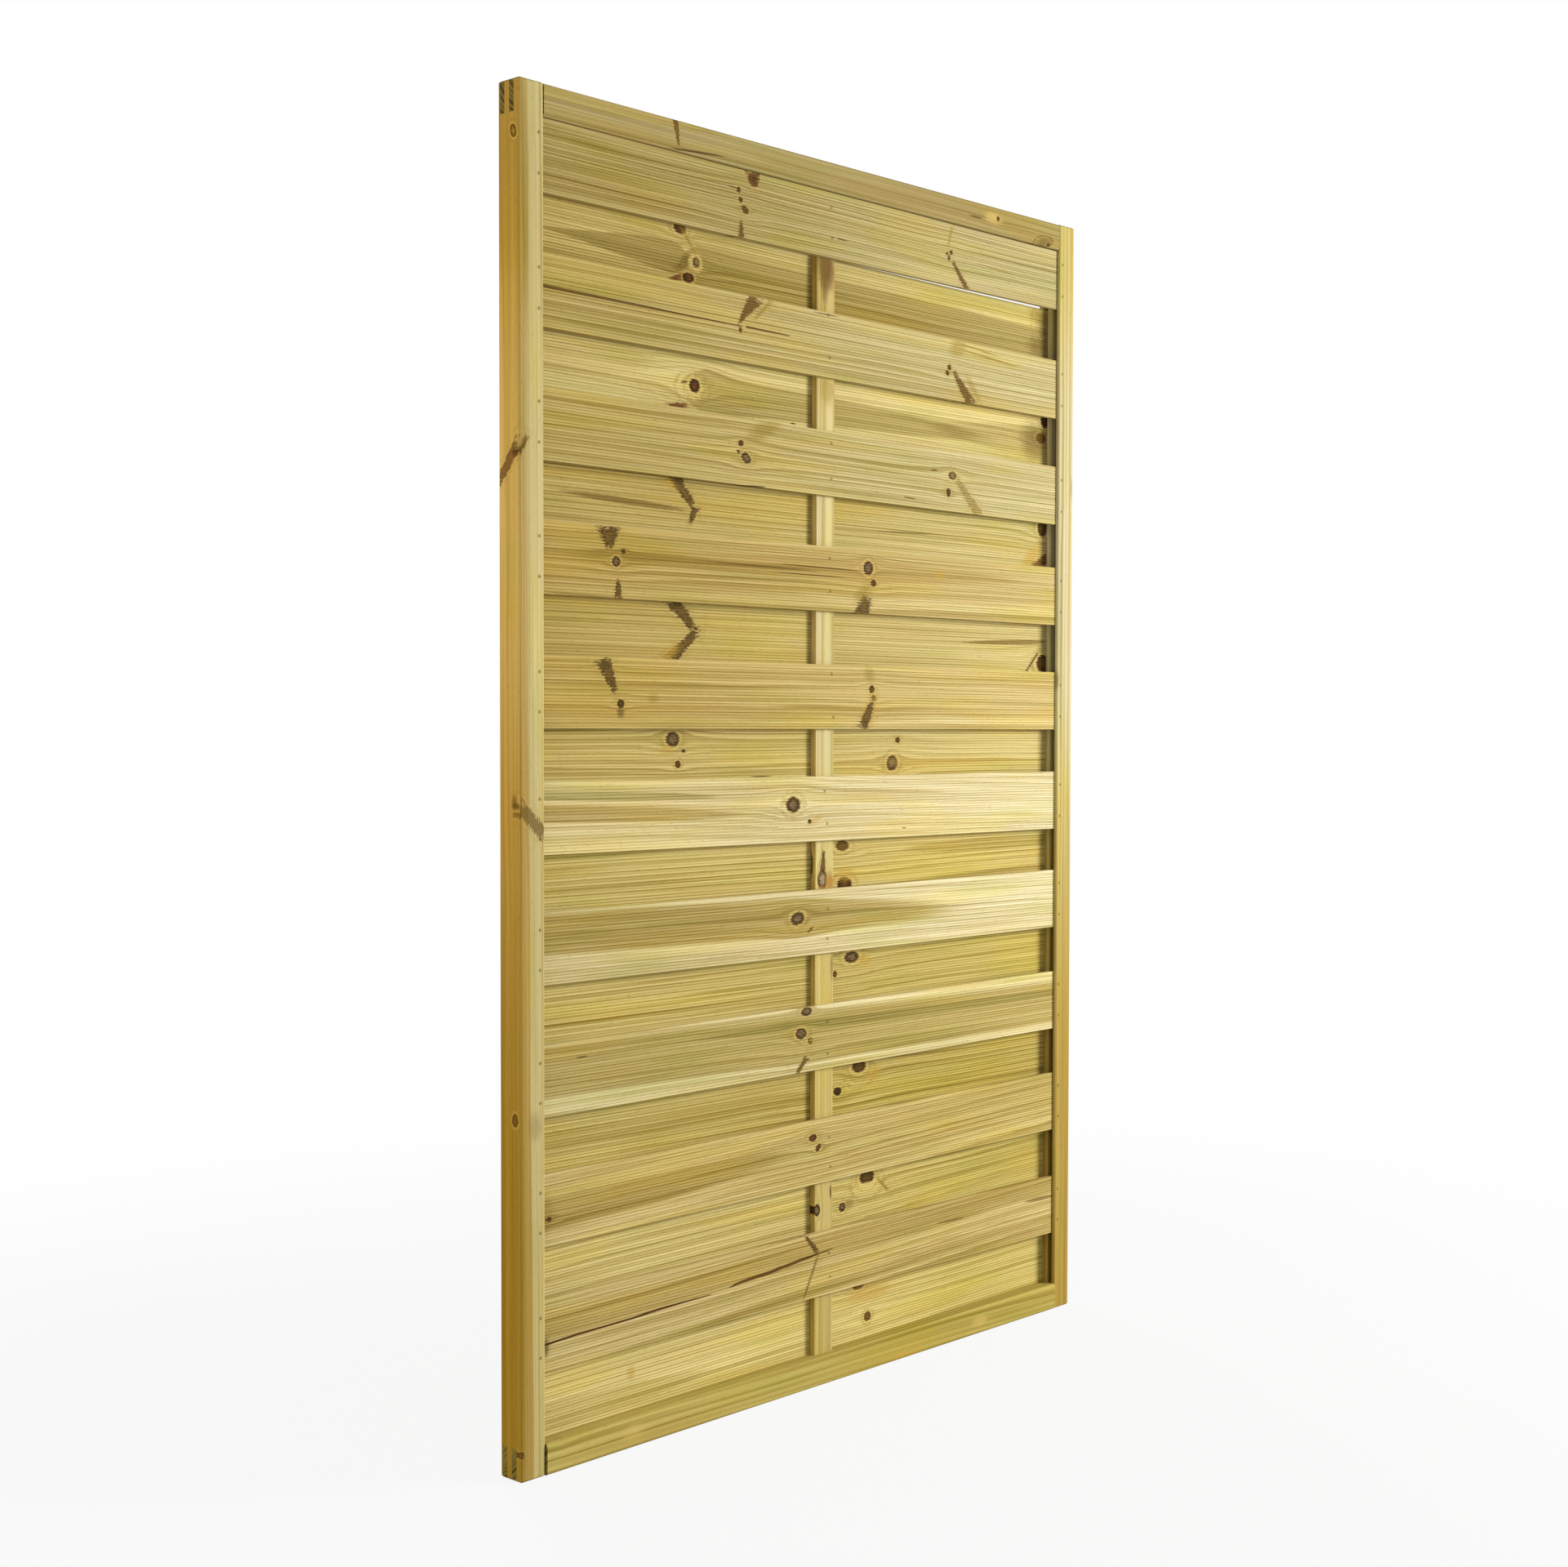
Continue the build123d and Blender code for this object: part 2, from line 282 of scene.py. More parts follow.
STRAW = colour(214, 197, 140)
TAN = colour(211, 191, 135)
CREAM = colour(231, 218, 170)
HONEY = colour(217, 201, 142)
GOLD = colour(214, 196, 128)
PALE_STRAW = colour(212, 199, 152)
PEARL = colour(230, 218, 179)
BRASS = colour(213, 194, 114)


def timber(seed, pale=STRAW, shade=1.0, drift=0.0, spacing=7.0, pith=(-60.0, 40.0), slope=0.0,
           lines=0.5, marks=(), bands=(), cracks=(), side_marks=(), side_tone=None):
    """A board in a pale colour, darker by its shade, with painted shade that darkens and yellows its left
    end (drift below 0) or its right end.
    """
    # The shade holds the board's own tone together with painted light: boards that the lamp lights more are
    # made darker.
    shaded = (*(part * shade for part in pale[:3]), 1.0)
    return Timber(seed, shaded, drift, spacing, pith, slope, lines,
                  marks, bands, cracks, side_marks, side_tone)


print("straw in linear values:", [round(part, 3) for part in STRAW[:3]])

# %% [markdown]
# Each kind of mark becomes a sum that is 0 in the middle of the mark and 1 on its edge. The grain that
# parts round a knot is a sum too: it shifts the height of a point away from the knot, most beside it and
# less further along.

# %% Distance from a mark, and grain that parts
GRAIN_PULL = 2.4
KNOT_REACH = 1.5
KNOT_ROOM = 0.35
NARROWEST = 0.05


def distance(mark, spot, taper=0.0, wedge=False):
    """0 at the middle of a mark or a band, 1 on its edge."""
    lean = math.radians(getattr(mark, "lean", 0.0))
    place = {"Vector": spot, "Location": (mark.along, mark.across, 0.0),
             "Rotation": (0.0, 0.0, lean), "Scale": (mark.long, mark.tall, 1.0)}
    local = Wire.node("ShaderNodeMapping", {"vector_type": "TEXTURE"}, place)
    if taper or wedge:
        parts = Wire.node("ShaderNodeSeparateXYZ", None, {0: local})
        narrow = (1 + parts.out("X") * taper).math("MAXIMUM", NARROWEST)
        aside = parts.out("Y") / narrow
        if wedge:
            return aside.math("ABSOLUTE").math("MAXIMUM", parts.out("X").math("ABSOLUTE"))
        local = point(parts.out("X"), aside, 0.0)
    return Wire.node("ShaderNodeVectorMath", {"operation": "LENGTH"}, {0: local}, output="Value")


def parting(mark, along, across):
    """How far a knot pushes the grain aside at a place on the board."""
    reach = mark.bend * max(mark.tall, min(mark.long, mark.tall * KNOT_REACH))
    sideways = across - mark.across
    lengthwise = (along - mark.along) / GRAIN_PULL
    square = sideways * sideways + lengthwise * lengthwise
    return sideways * (reach * reach) / (square + reach * reach * KNOT_ROOM)


print("a knot bends the grain for", GRAIN_PULL, "times as far along as across")

# %% [markdown]
# Paint for a mark goes on in layers: a honey ring and a broken olive ring round a knot, then the mark
# itself, ragged at its edge, with its core showing through in specks.

# %% Paint one mark
HONEY_BELT = ((0.95, 1.1), (1.15, 1.5))
HONEY_SHARE = 0.5
OLIVE_BELT = ((1.35, 1.5), (1.6, 2.2))
OLIVE_SHARE = 0.6
OLIVE_BREAKS = (0.42, 0.58)
OUTLINE_START = 0.9
OUTLINE_BREAKS = (0.36, 0.6)
CORE_FADE = (0.3, 0.85)
SPECK_STEP = (0.5, 0.62)
SPECK_SHARE = 0.8


def paint(base, mark, spot, ragged, mottle, near):
    """Lays one mark over the colour below it, near the face that shows it."""
    away = distance(mark, spot, mark.taper, mark.shape == "wedge")
    rough = away + (ragged - 0.5) * mark.ragged
    if mark.ring:
        honey = belt(rough, *HONEY_BELT)
        base = mix(honey * near * (HONEY_SHARE * mark.ring), base, HONEY_RING)
        olive = belt(away, *OLIVE_BELT) * smooth(ragged, *OLIVE_BREAKS)
        base = mix(olive * near * (OLIVE_SHARE * mark.ring), base, OLIVE_RING)
    if mark.shape == "outline":
        line = belt(rough, (OUTLINE_START - mark.edge, OUTLINE_START), (1.0, 1.0 + mark.edge))
        cover = line * smooth(ragged, *OUTLINE_BREAKS)
    else:
        cover = 1 - smooth(rough, 1 - mark.edge, 1 + mark.edge)
    tint = mark.tint
    if mark.core != mark.tint:
        rim = smooth(rough, *CORE_FADE) + smooth(mottle, *SPECK_STEP) * SPECK_SHARE
        tint = mix(rim.math("MINIMUM", 1.0), mark.core, mark.tint)
    return mix(cover * near * mark.strength, base, tint)


print("a knot's olive ring lies at", OLIVE_BELT[0][1], "times its half size")

# %% Tone one band
BAND_END = 26.0
BAND_WANDER = 0.35
HEART_LINE = ((0.86, 0.96), (0.98, 1.1))
HEART_LINE_SHARE = 0.25


def tone_band(base, mark, spot, along, streak):
    """Tones the wood inside one band, with a thin darker line where heart meets sap."""
    rough = distance(mark, spot, mark.taper) + (streak - 0.5) * BAND_WANDER
    if mark.start is not None:
        rough = rough + 1 - smooth(along, mark.start - BAND_END, mark.start + BAND_END)
    if mark.stop is not None:
        rough = rough + smooth(along, mark.stop - BAND_END, mark.stop + BAND_END)
    cover = 1 - smooth(rough, 1 - mark.edge, 1 + mark.edge)
    base = mix(cover * mark.strength, base, mark.tone, "MULTIPLY")
    if mark.edge >= SOFT_BAND:
        return base
    line = belt(rough, *HEART_LINE)
    return mix(line * HEART_LINE_SHARE * mark.strength, base, HEART, "MULTIPLY")


print("a band that stops at a knot fades over", 2 * BAND_END, "mm")

# %% [markdown]
# A drying split is open in the model itself. Its walls get painted shade: the same places along the board,
# each with a height and half a width, darken the wood there a little wider than the cut.

# %% Drying splits, with painted shade
SPLIT_SHADE_BROWN = colour(112, 78, 36)
SPLIT_EDGE = (0.7, 1.2)
SPLIT_SPAN = ((-0.01, 0.0), (1.0, 1.01))
SPLIT_LEAST = 0.1


def split_stretch(start, stop, along, across):
    """1 inside one stretch of a split, 0 outside."""
    share = (along - start[0]) / (stop[0] - start[0])
    middle = start[1] + share * (stop[1] - start[1])
    half = start[2] + share * (stop[2] - start[2])
    off = (across - middle).math("ABSOLUTE") / half.math("MAXIMUM", SPLIT_LEAST)
    return (1 - smooth(off, *SPLIT_EDGE)) * belt(share, *SPLIT_SPAN)


def paint_split_shade(base, places, along, across):
    """Paints shade along one split, from place to place."""
    for start, stop in zip(places, places[1:]):
        base = mix(split_stretch(start, stop, along, across), base, SPLIT_SHADE_BROWN)
    return base


print("a split is dark out to", SPLIT_EDGE[1], "times its half width")

# %% [markdown]
# The wood itself comes next. A point is measured along the grain, across the face and back from the face.
# A slat hangs a little out of level, and its reeds and its grain fall with it, so the fall is read from
# the slat's own ends.

# %% Where a point lies in its board
MILLIMETRES = 1000.0
END_SHARE = 0.01


def place_in_board(grain, low, high):
    """Millimetres along the grain, across the face and back from the front of a piece's box."""
    place = Wire.node("ShaderNodeTexCoord", output="Object")
    parts = Wire.node("ShaderNodeSeparateXYZ", None, {0: place})
    middle = (low + high) / 2 * MILLIMETRES
    x = parts.out("X") * MILLIMETRES
    z = parts.out("Z") * MILLIMETRES
    depth = parts.out("Y") * MILLIMETRES - low.y * MILLIMETRES
    if grain == "X":
        return x, z - middle.z, depth
    return z, x - middle.x, depth


def fall_of(piece):
    """How much a slat falls for each millimetre to the right, from the middles of its two ends."""
    corners = [vertex.co for vertex in piece.data.vertices]
    left = min(corner.x for corner in corners)
    right = max(corner.x for corner in corners)
    reach = (right - left) * END_SHARE
    left_end = [corner.z for corner in corners if corner.x < left + reach]
    right_end = [corner.z for corner in corners if corner.x > right - reach]
    return (sum(left_end) / len(left_end) - sum(right_end) / len(right_end)) / (right - left)


print("the top front slat falls by", round(fall_of(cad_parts["front_slat_01"]), 4))

# %% [markdown]
# The knots bend the grain, and the year's ring that a point lies in follows from its distance to the pith.
# Late wood darkens slowly through the season and stops sharply, as it does in a tree. Some years grow more
# of it than others.

# %% Growth rings
Lumps = namedtuple("Lumps", "first second layer detail", defaults=(0, 2.0))
GRAIN_WANDER = Lumps(420, 150)
WANDER_HEIGHT = 8.0
YEAR_LUMPS = Lumps(11, 1500, 5)
YEAR_STRAY = 2.5
YEAR_STEP = 0.73
VIGOUR_LENGTH = 900
VIGOUR_STEP = (0.3, 0.7)
VIGOUR_SHARE = 1.1
LATE_BELT = ((0.3, 0.92), (0.94, 1.0))
LATE_LEAST = 0.45


def lumps(size, wood, first, second):
    """Noise with lumps of one length by another, in millimetres, and different in each board."""
    return noise(point(first / size.first, second / size.second, wood.seed + size.layer), size.detail)


def growth(wood, along, across, depth, fall):
    """The bent height on the board, the distance from the pith, and the share of late wood."""
    flow = across + (fall - wood.slope) * along
    for mark in wood.marks:
        if mark.bend:
            flow = flow - parting(mark, along, across)
    flow = flow + lumps(GRAIN_WANDER, wood, along, across) * WANDER_HEIGHT - WANDER_HEIGHT / 2
    pith_across, pith_depth = wood.pith
    rise = flow - pith_across
    back = depth - pith_depth
    ring = (rise * rise + back * back).math("SQRT")
    year = ring / wood.spacing + lumps(YEAR_LUMPS, wood, ring, along) * YEAR_STRAY
    season = year.math("FRACT")
    vigour = noise(point(year.math("FLOOR") * YEAR_STEP, wood.seed, along / VIGOUR_LENGTH))
    late = belt(season, *LATE_BELT) * (LATE_LEAST + smooth(vigour, *VIGOUR_STEP) * VIGOUR_SHARE)
    return flow, ring, late


print("late wood begins at", LATE_BELT[0][0], "of a year and ends at", LATE_BELT[1][1])

# %% [markdown]
# Broad and fine streaks, fibres, flecks and clouds come from noise that is stretched along the grain. Each
# of them only tones what is there, so they can be listed: the noise, the step in which it sets in, how much
# of it shows, and its tone.

# %% The colour of clear wood
LATE_TONE = (0.58, 0.51, 0.28, 1.0)
STREAK_TONE = (0.70, 0.65, 0.44, 1.0)
GREEN_TONE = (0.88, 0.93, 0.74, 1.0)
LEFT_END_SHADE = (0.85, 0.72, 0.36, 1.0)
RIGHT_END_SHADE = (0.60, 0.57, 0.22, 1.0)
PINK_TONE = (1.0, 0.95, 0.88, 1.0)
YELLOW_TONE = (1.04, 1.01, 0.74, 1.0)
FLECK_TONE = (0.42, 0.34, 0.16, 1.0)
BROAD_STREAK = Lumps(900, 6, 9)
FINE_STREAK = Lumps(500, 1.7, 11, 3.0)
CLOUD = Lumps(260, 26, 17)
SUN = Lumps(330, 40, 19)
FIBRE_LONG, FIBRE_WIDE = 14, 0.6
FLECK_LONG, FLECK_WIDE = 11, 1.1
PINK_STEP = (0.32, 0.48)
PINK_SHARE = 0.6
END_SHADE_REACH = 560


def grain_colour(wood, along, across, depth, flow, ring, late):
    """The colour of clear wood with its bands, and the fine streak and the fibre by themselves."""
    broad = lumps(BROAD_STREAK, wood, along, ring)
    streak = lumps(FINE_STREAK, wood, along, ring)
    cloud = lumps(CLOUD, wood, along, across)
    sun = lumps(SUN, wood, along, across)
    fibre = noise(point(along / FIBRE_LONG, across / FIBRE_WIDE, depth / FIBRE_WIDE))
    fleck = noise(point(along / FLECK_LONG, across / FLECK_WIDE, depth / FLECK_WIDE + wood.seed), 1.0)
    base = mix(late * wood.lines, wood.pale, LATE_TONE, "MULTIPLY")
    for value, low, high, share, tone in (
            (broad, 0.38, 0.66, 0.4, STREAK_TONE),
            (streak, 0.42, 0.68, 0.5, STREAK_TONE),
            (cloud, 0.5, 0.68, 0.7, GREEN_TONE),
            (sun, 0.48, 0.66, 0.7, YELLOW_TONE),
            (fibre, 0.5, 0.8, 0.35, STREAK_TONE),
            (fleck, 0.66, 0.78, 0.6, FLECK_TONE)):
        base = mix(smooth(value, low, high) * share, base, tone, "MULTIPLY")
    base = mix((1 - smooth(cloud, *PINK_STEP)) * PINK_SHARE, base, PINK_TONE, "MULTIPLY")
    # Painted shade: one end of the board is darker and yellower, as the light falls off across the panel.
    if wood.drift:
        end, tone = (1, RIGHT_END_SHADE) if wood.drift > 0 else (-1, LEFT_END_SHADE)
        base = mix(smooth(along * end, -END_SHADE_REACH, END_SHADE_REACH) * abs(wood.drift), base, tone, "MULTIPLY")
    grained = point(along, flow, 0.0)
    for mark in wood.bands:
        base = tone_band(base, mark, grained, along, streak)
    return base, streak, fibre


print("late wood keeps these shares of the colour:", LATE_TONE[:3])

# %% [markdown]
# Marks lie in the wood near the face that shows them. The grooves between the reeds get painted shade,
# uneven along the board, and cut ends are darker because the treatment soaks into them.

# %% Marks, painted shade in the grooves, and cut ends
RAGGED = Lumps(8, 1.5, 23, 3.0)
MOTTLE = Lumps(2.4, 2.4, 41)
MARK_DEPTH = (11.0, 17.0)
SIDE_MARK_DEPTH = (5.0, 10.0)
GROOVE_SHADE_LUMPS = Lumps(500, 3.5, 31)
GROOVE_SHADE_LEAST = 0.3
GROOVE_SHADE_STEP = (0.4, 0.7)
GROOVE_SHADE_SHARE = 0.5
GROOVE_SHADE_TONE = (0.46, 0.42, 0.23, 1.0)
GROOVE_BELT = ((0.15, 0.9), (1.1, 2.0))
TURNED = (0.6, 0.9)
END_PALE = colour(112, 96, 38)
END_DARK = colour(48, 37, 12)
END_SOAK = 0.85


def with_marks(base, wood, along, across, depth, slant, half_wide):
    """The clear wood with the marks of its face, the marks of its left side and the painted shade of its
    splits.
    """
    ragged = lumps(RAGGED, wood, along, across)
    mottle = lumps(MOTTLE, wood, along, across)
    spot = point(along + depth * slant, across, 0.0)
    near = 1 - smooth(depth, *MARK_DEPTH)
    for mark in wood.marks:
        base = paint(base, mark, spot, ragged, mottle, near)
    side = point(along, depth, 0.0)
    outside = 1 - smooth(across + half_wide, *SIDE_MARK_DEPTH)
    for mark in wood.side_marks:
        base = paint(base, mark, side, ragged, mottle, outside)
    # Painted shade along the splits.
    for places in wood.cracks:
        base = paint_split_shade(base, places, along, across)
    return base


def with_groove_shade(base, wood, along, level, depth, reed_depth):
    """The wood with painted shade in the grooves between its reeds, uneven along the board."""
    groove = belt(depth, *([share * reed_depth for share in step] for step in GROOVE_BELT))
    shade_lumps = lumps(GROOVE_SHADE_LUMPS, wood, along, level)
    amount = groove * (GROOVE_SHADE_LEAST + smooth(shade_lumps, *GROOVE_SHADE_STEP) * GROOVE_SHADE_SHARE)
    return mix(amount, base, GROOVE_SHADE_TONE, "MULTIPLY")


def with_ends(base, wood, grain, late):
    """The wood with a tone on its sides, which is painted shade on the batten, and darker rings where it is
    cut across.
    """
    normal = Wire.node("ShaderNodeNewGeometry", output="Normal")
    turned = Wire.node("ShaderNodeSeparateXYZ", None, {0: normal})
    # On the batten the side tone is painted shade; on the left stile it is the heartwood's colour.
    if wood.side_tone:
        sideways = turned.out("X").math("ABSOLUTE")
        base = mix(smooth(sideways, *TURNED), base, wood.side_tone, "MULTIPLY")
    endways = turned.out(grain).math("ABSOLUTE")
    return mix(smooth(endways, *TURNED) * END_SOAK, base, mix(late, END_PALE, END_DARK))


print("marks fade out between", *MARK_DEPTH, "mm behind the face")

# %% [markdown]
# One function puts these together into a material, and another gives it to a piece. Planed softwood is
# dull, and the late wood, which is denser, shines a little more. The relief is less than half a millimetre.

# %% Dress a piece in timber
KNOT_SLANT = 3.0
ROUGHNESS = 0.88
LATE_POLISH = 0.1
SHINE = 0.06
RELIEF_SHARES = (0.5, 0.6, 0.5)
RELIEF_STRENGTH = 0.3
RELIEF_HEIGHT = 0.0004


def wood_material(name, wood, grain, low, high, fall, reed_depth):
    """The material of one piece: its wood, its marks, its ends and its relief."""
    material, shader = new_material(name)
    along, across, depth = place_in_board(grain, low, high)
    flow, ring, late = growth(wood, along, across, depth, fall)
    base, streak, fibre = grain_colour(wood, along, across, depth, flow, ring, late)
    slant = KNOT_SLANT if reed_depth else 0.0
    base = with_marks(base, wood, along, across, depth, slant, (high.x - low.x) / 2 * MILLIMETRES)
    # Painted shade in the grooves between the reeds.
    if reed_depth:
        base = with_groove_shade(base, wood, along, across + along * fall, depth, reed_depth)
    feed(shader, "Base Color", with_ends(base, wood, grain, late))
    feed(shader, "Roughness", ROUGHNESS - late * LATE_POLISH)
    from_late, from_streak, from_fibre = RELIEF_SHARES
    relief = late * from_late + streak * from_streak + fibre * from_fibre
    sockets = {"Strength": RELIEF_STRENGTH, "Distance": RELIEF_HEIGHT, "Height": relief}
    feed(shader, "Normal", Wire.node("ShaderNodeBump", None, sockets))
    shader.inputs["Specular IOR Level"].default_value = SHINE
    return material


def dress(node, wood, grain, reed_depth=0.0):
    """Gives one piece of the frame its own timber."""
    low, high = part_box(node)
    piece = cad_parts[node]
    fall = fall_of(piece) if grain == "X" else 0.0
    material = wood_material(node + "_timber", wood, grain, low, high, fall, reed_depth)
    coat(piece, material)
    count = len(material.node_tree.nodes)
    print(node, "shader nodes:", count, "marks:", len(wood.marks), "fall:", round(fall, 4))


print("relief in millimetres:", RELIEF_HEIGHT * MILLIMETRES)

# %% [markdown]
# The ten front slats come from several boards. The upper three are straw coloured, the fourth and fifth
# are browner, and the lower five have broad bands of darker heartwood between pale edges.

# %% Front slats one to three
front = {}
front[1] = timber(1.3, pale=PALE_STRAW, shade=0.751, drift=-0.65, marks=(
    spike(-165, 38, 11, 11, -80, -0.4, BARK_RED, KNOT_RIM),
    knot(-195, 18, 4, 4.4, ring=0.4),
    pocket(-206, 20, 9, 0.9, tint=KNOT_RIM),
    knot(-191, 5, 4.4, 4, ring=0.4),
    knot(-182, -7.5, 8, 5.4, -25, BRANCH, BRANCH, ring=0.4),
    spike(-190, -37, 12, 4.6, -88, 0.35),
    spike(277, 27, 18, 2.4, 74, 0.3, OLIVE_STAIN, OLIVE_STAIN, 0.6),
    knot(280, 3, 4, 3.6, ring=0.4),
    knot(275, -6, 3.6, 4.4, ring=0.4),
    knot(270, 0, 3, 2.6, ring=0.4),
    spike(303, -31, 26, 4.5, -47, 0.3),
    pocket(395, -6, 48, 1.1, -2, tint=OLIVE_STAIN),
    pocket(24, -17.5, 11, 0.9, tint=KNOT_RIM),
))
front[2] = timber(2.7, pale=PALE_STRAW, shade=0.841, drift=-0.65, marks=(
    spike(-176, 30, 26, 8.5, 51, 0.7),
    spike(-146, 32, 24, 3, 42, 0.3, OLIVE_STAIN, OLIVE_STAIN, 0.6),
    knot(-191, -1, 3.4, 4, bend=0.6, ring=0.3),
    stain(297, 32, 18, 13, 20),
    pocket(380, 26, 70, 1.6, -4, tint=OLIVE_STAIN),
    pocket(350, 36, 55, 1.2, -5, tint=OLIVE_STAIN),
    knot(277, 0, 5, 4.6, ring=0.5),
    knot(272, -9, 4.4, 4, ring=0.5),
    spike(311, -30, 34, 8, -47, 0.6, BRANCH, BRANCH_PALE),
    stain(336, -26, 24, 6, -45, OLIVE_STAIN, 0.5),
    pocket(-12, 44, 26, 0.8, 0, tint=KNOT_RIM),
), cracks=(
    ((-580, 9.0, 2.2), (-380, 6.0, 1.6), (-300, 4.8, 0.9), (-188, 3.6, 0.5)),
    ((-180, 4.0, 1.3), (-90, 2.8, 0.5)),
))
front[3] = timber(3.1, pale=PALE_STRAW, shade=0.857, drift=-0.65, marks=(
    knot(-190, 13, 5.6, 4.6, ring=0.5),
    knot(-195, 1, 3.2, 2.4, ring=0.3),
    knot(-179, -7, 10, 7, -25, ring=0.6),
    stain(-143, 35, 32, 11, 22, OLIVE_STAIN, 0.65),
    knot(286, 5, 10, 6.5, ring=0.6),
    knot(276, -22, 5.6, 7, ring=0.6),
    spike(327, -28, 38, 8, -43, 0.3, PITCH_BROWN, OLIVE_STAIN, 0.7),
    pocket(240, 10, 8, 1.4, 4, tint=BARK_RED),
    pocket(181, -37, 15, 1, -2, tint=BARK_RED),
    pocket(-165, -46, 24, 1.6, 2, tint=KNOT_DARK),
))
print("front boards so far:", len(front))

# %% Front slats four and five
front[4] = timber(4.9, pale=TAN, shade=0.863, drift=-0.55, slope=0.01, spacing=8.0, marks=(
    spike(-441, 36, 14, 14, -85, -0.5, KNOT_RIM),
    knot(-428, 4, 7.6, 7),
    knot(-415, 18, 4, 3.6, ring=0.3),
    spike(-424, -33, 12, 5, 88, -0.3, KNOT_RIM),
    knot(85, 20, 11, 10.5),
    knot(97, -2, 6.5, 5.4, ring=0.5),
    spike(76, -38, 16, 13, 66, -0.3, KNOT_RIM),
    stain(72, -18, 20, 10, 25),
    stain(255, 18, 11, 8, tint=HONEY_STAIN),
    # Painted shade: a dark line along the lower edge at the left end.
    pocket(-490, -43, 60, 1.2, -1, tint=BRANCH, strength=0.5),
    pocket(-140, 11, 110, 1.1, -0.6, tint=BRANCH),
    pocket(-40, 4, 80, 0.9, -0.4, tint=BRANCH),
    pocket(-20, 16, 90, 0.9, -0.8, tint=BRANCH),
), bands=(
    band(14, 13, BROWN_HEART, 0.5, along=-20, long=460),
    band(-32, 10, SAP, 0.7),
))
front[5] = timber(5.2, pale=TAN, shade=0.921, drift=-0.5, spacing=8.0, marks=(
    spike(-441, 26, 25, 9, -62, -0.5, KNOT_RIM),
    knot(-420, -12, 6.6, 6, ring=0.6),
    stain(-420, -24, 6, 7, 0, BRANCH, 0.7),
    stain(-360, -5, 10, 5),
    knot(94, 12, 6.4, 6, ring=0.6),
    knot(98, -1, 6, 4, ring=0.3),
    stain(92, -22, 30, 16, 60, HONEY_STAIN, 0.3),
    spike(84, -27, 24, 8, 60, -0.35, KNOT_RIM),
    stain(88, 34, 10, 12, 60),
), bands=(
    band(-40, 8, SAP, 0.6, along=300, long=500),
))
print("front boards so far:", len(front))

# %% Front slats six to eight
front[6] = timber(6.4, pale=PEARL, shade=0.918, drift=-0.4, slope=-0.024, lines=0.35, marks=(
    knot(-80, 7.5, 15, 11.5, 0, ring=0.8),
    knot(-44, -18, 4.4, 3.4, tint=KNOT_DARK, core=KNOT_DARK, ring=0.4),
    stain(-30, -15, 14, 5, 25, HONEY_STAIN),
    pocket(170, -35, 5, 0.9, tint=KNOT_RIM),
), bands=(
    band(16, 6, GREEN_HEART, 0.8, along=-500, long=260),
    band(-8, 10, HEART, 0.7, along=-540, long=340),
))
front[7] = timber(7.8, pale=PEARL, shade=0.917, drift=-0.25, slope=-0.019, lines=0.4, marks=(
    knot(-70, 8, 14.5, 9.4, 8),
    pocket(-42, -10, 8, 2, 32, tint=BRANCH),
), bands=(
    band(8, 27, HEART, 0.95, along=-480, long=740),
    band(12, 5, GREEN_HEART, 0.5, along=-120, long=260),
))
front[8] = timber(8.5, pale=CREAM, shade=0.883, slope=-0.014, lines=0.45, marks=(
    knot(-50, 41, 12, 6, ring=0.5),
    knot(-62, 10, 12, 8),
    knot(-42, -3, 5, 5, tint=BRANCH, core=HONEY_STAIN, ring=0.5),
    spike(-60, -37, 16, 4, 45, 0.3),
    pocket(-490, 24, 10, 1, tint=KNOT_RIM),
), bands=(
    band(4, 33, HEART, 0.9),
    band(20, 7, GREEN_HEART, 0.75, along=260, long=520),
))
print("front boards so far:", len(front))

# %% Front slats nine and ten
front[9] = timber(9.6, pale=TAN, shade=0.984, drift=0.45, slope=0.023, lines=0.55, marks=(
    knot(-36, 22, 9, 5.6, 0, KNOT_RIM, BARK_RED),
    knot(-24, 6, 7, 4.6, 40),
    knot(-548, -13, 5, 3.2, ring=0.4),
    stain(-552, -4, 10, 24, tint=BRANCH, strength=0.2),
), bands=(
    band(6, 20, HEART, 0.7, along=-520, long=420),
    band(-44, 10, SAP, 0.6, along=300, long=800),
))
front[10] = timber(10.1, pale=TAN, shade=0.955, drift=0.15, slope=0.027, lines=0.55, marks=(
    spike(-38, 33, 20, 3.6, -47, 0.3, KNOT_RIM),
    spike(-40, -16, 34, 2.2, 62, 0.1, BRANCH, BRANCH, 0.7),
    pocket(289, 14, 34, 2.2, -2),
    pocket(530, 11, 44, 3, -1),
    stain(-555, -12, 7, 12, tint=KNOT_RIM, strength=0.7),
), bands=(
    band(22, 16, HEART, 0.6),
    band(-36, 9, HEART, 0.6, along=200, long=500),
), cracks=(
    ((-580, -9.5, 1.7), (-500, -6.0, 1.1), (-400, -4.5, 1.3), (-350, -2.0, 1.6), (-250, -0.8, 0.5)),
    ((-212, 2.0, 0.6), (-190, 5.0, 2.0), (-130, 8.0, 2.3), (-60, 14.0, 2.2), (8, 19.0, 0.5)),
))
print("front boards:", len(front))

# %% [markdown]
# Steel blackens treated wood, so each brad sits in a dark spot. The brads of one kind are one piece of the
# packed model. Sorted by height its points fall into groups, one for each brad, and the middle of a group
# is where a spot of iron stain goes.

# %% Dress the front slats
REED_DEPTH = 0.6
BRAD_GAP = 0.005
IRON_SPOT = 2.1
IRON_STRENGTH = 0.65


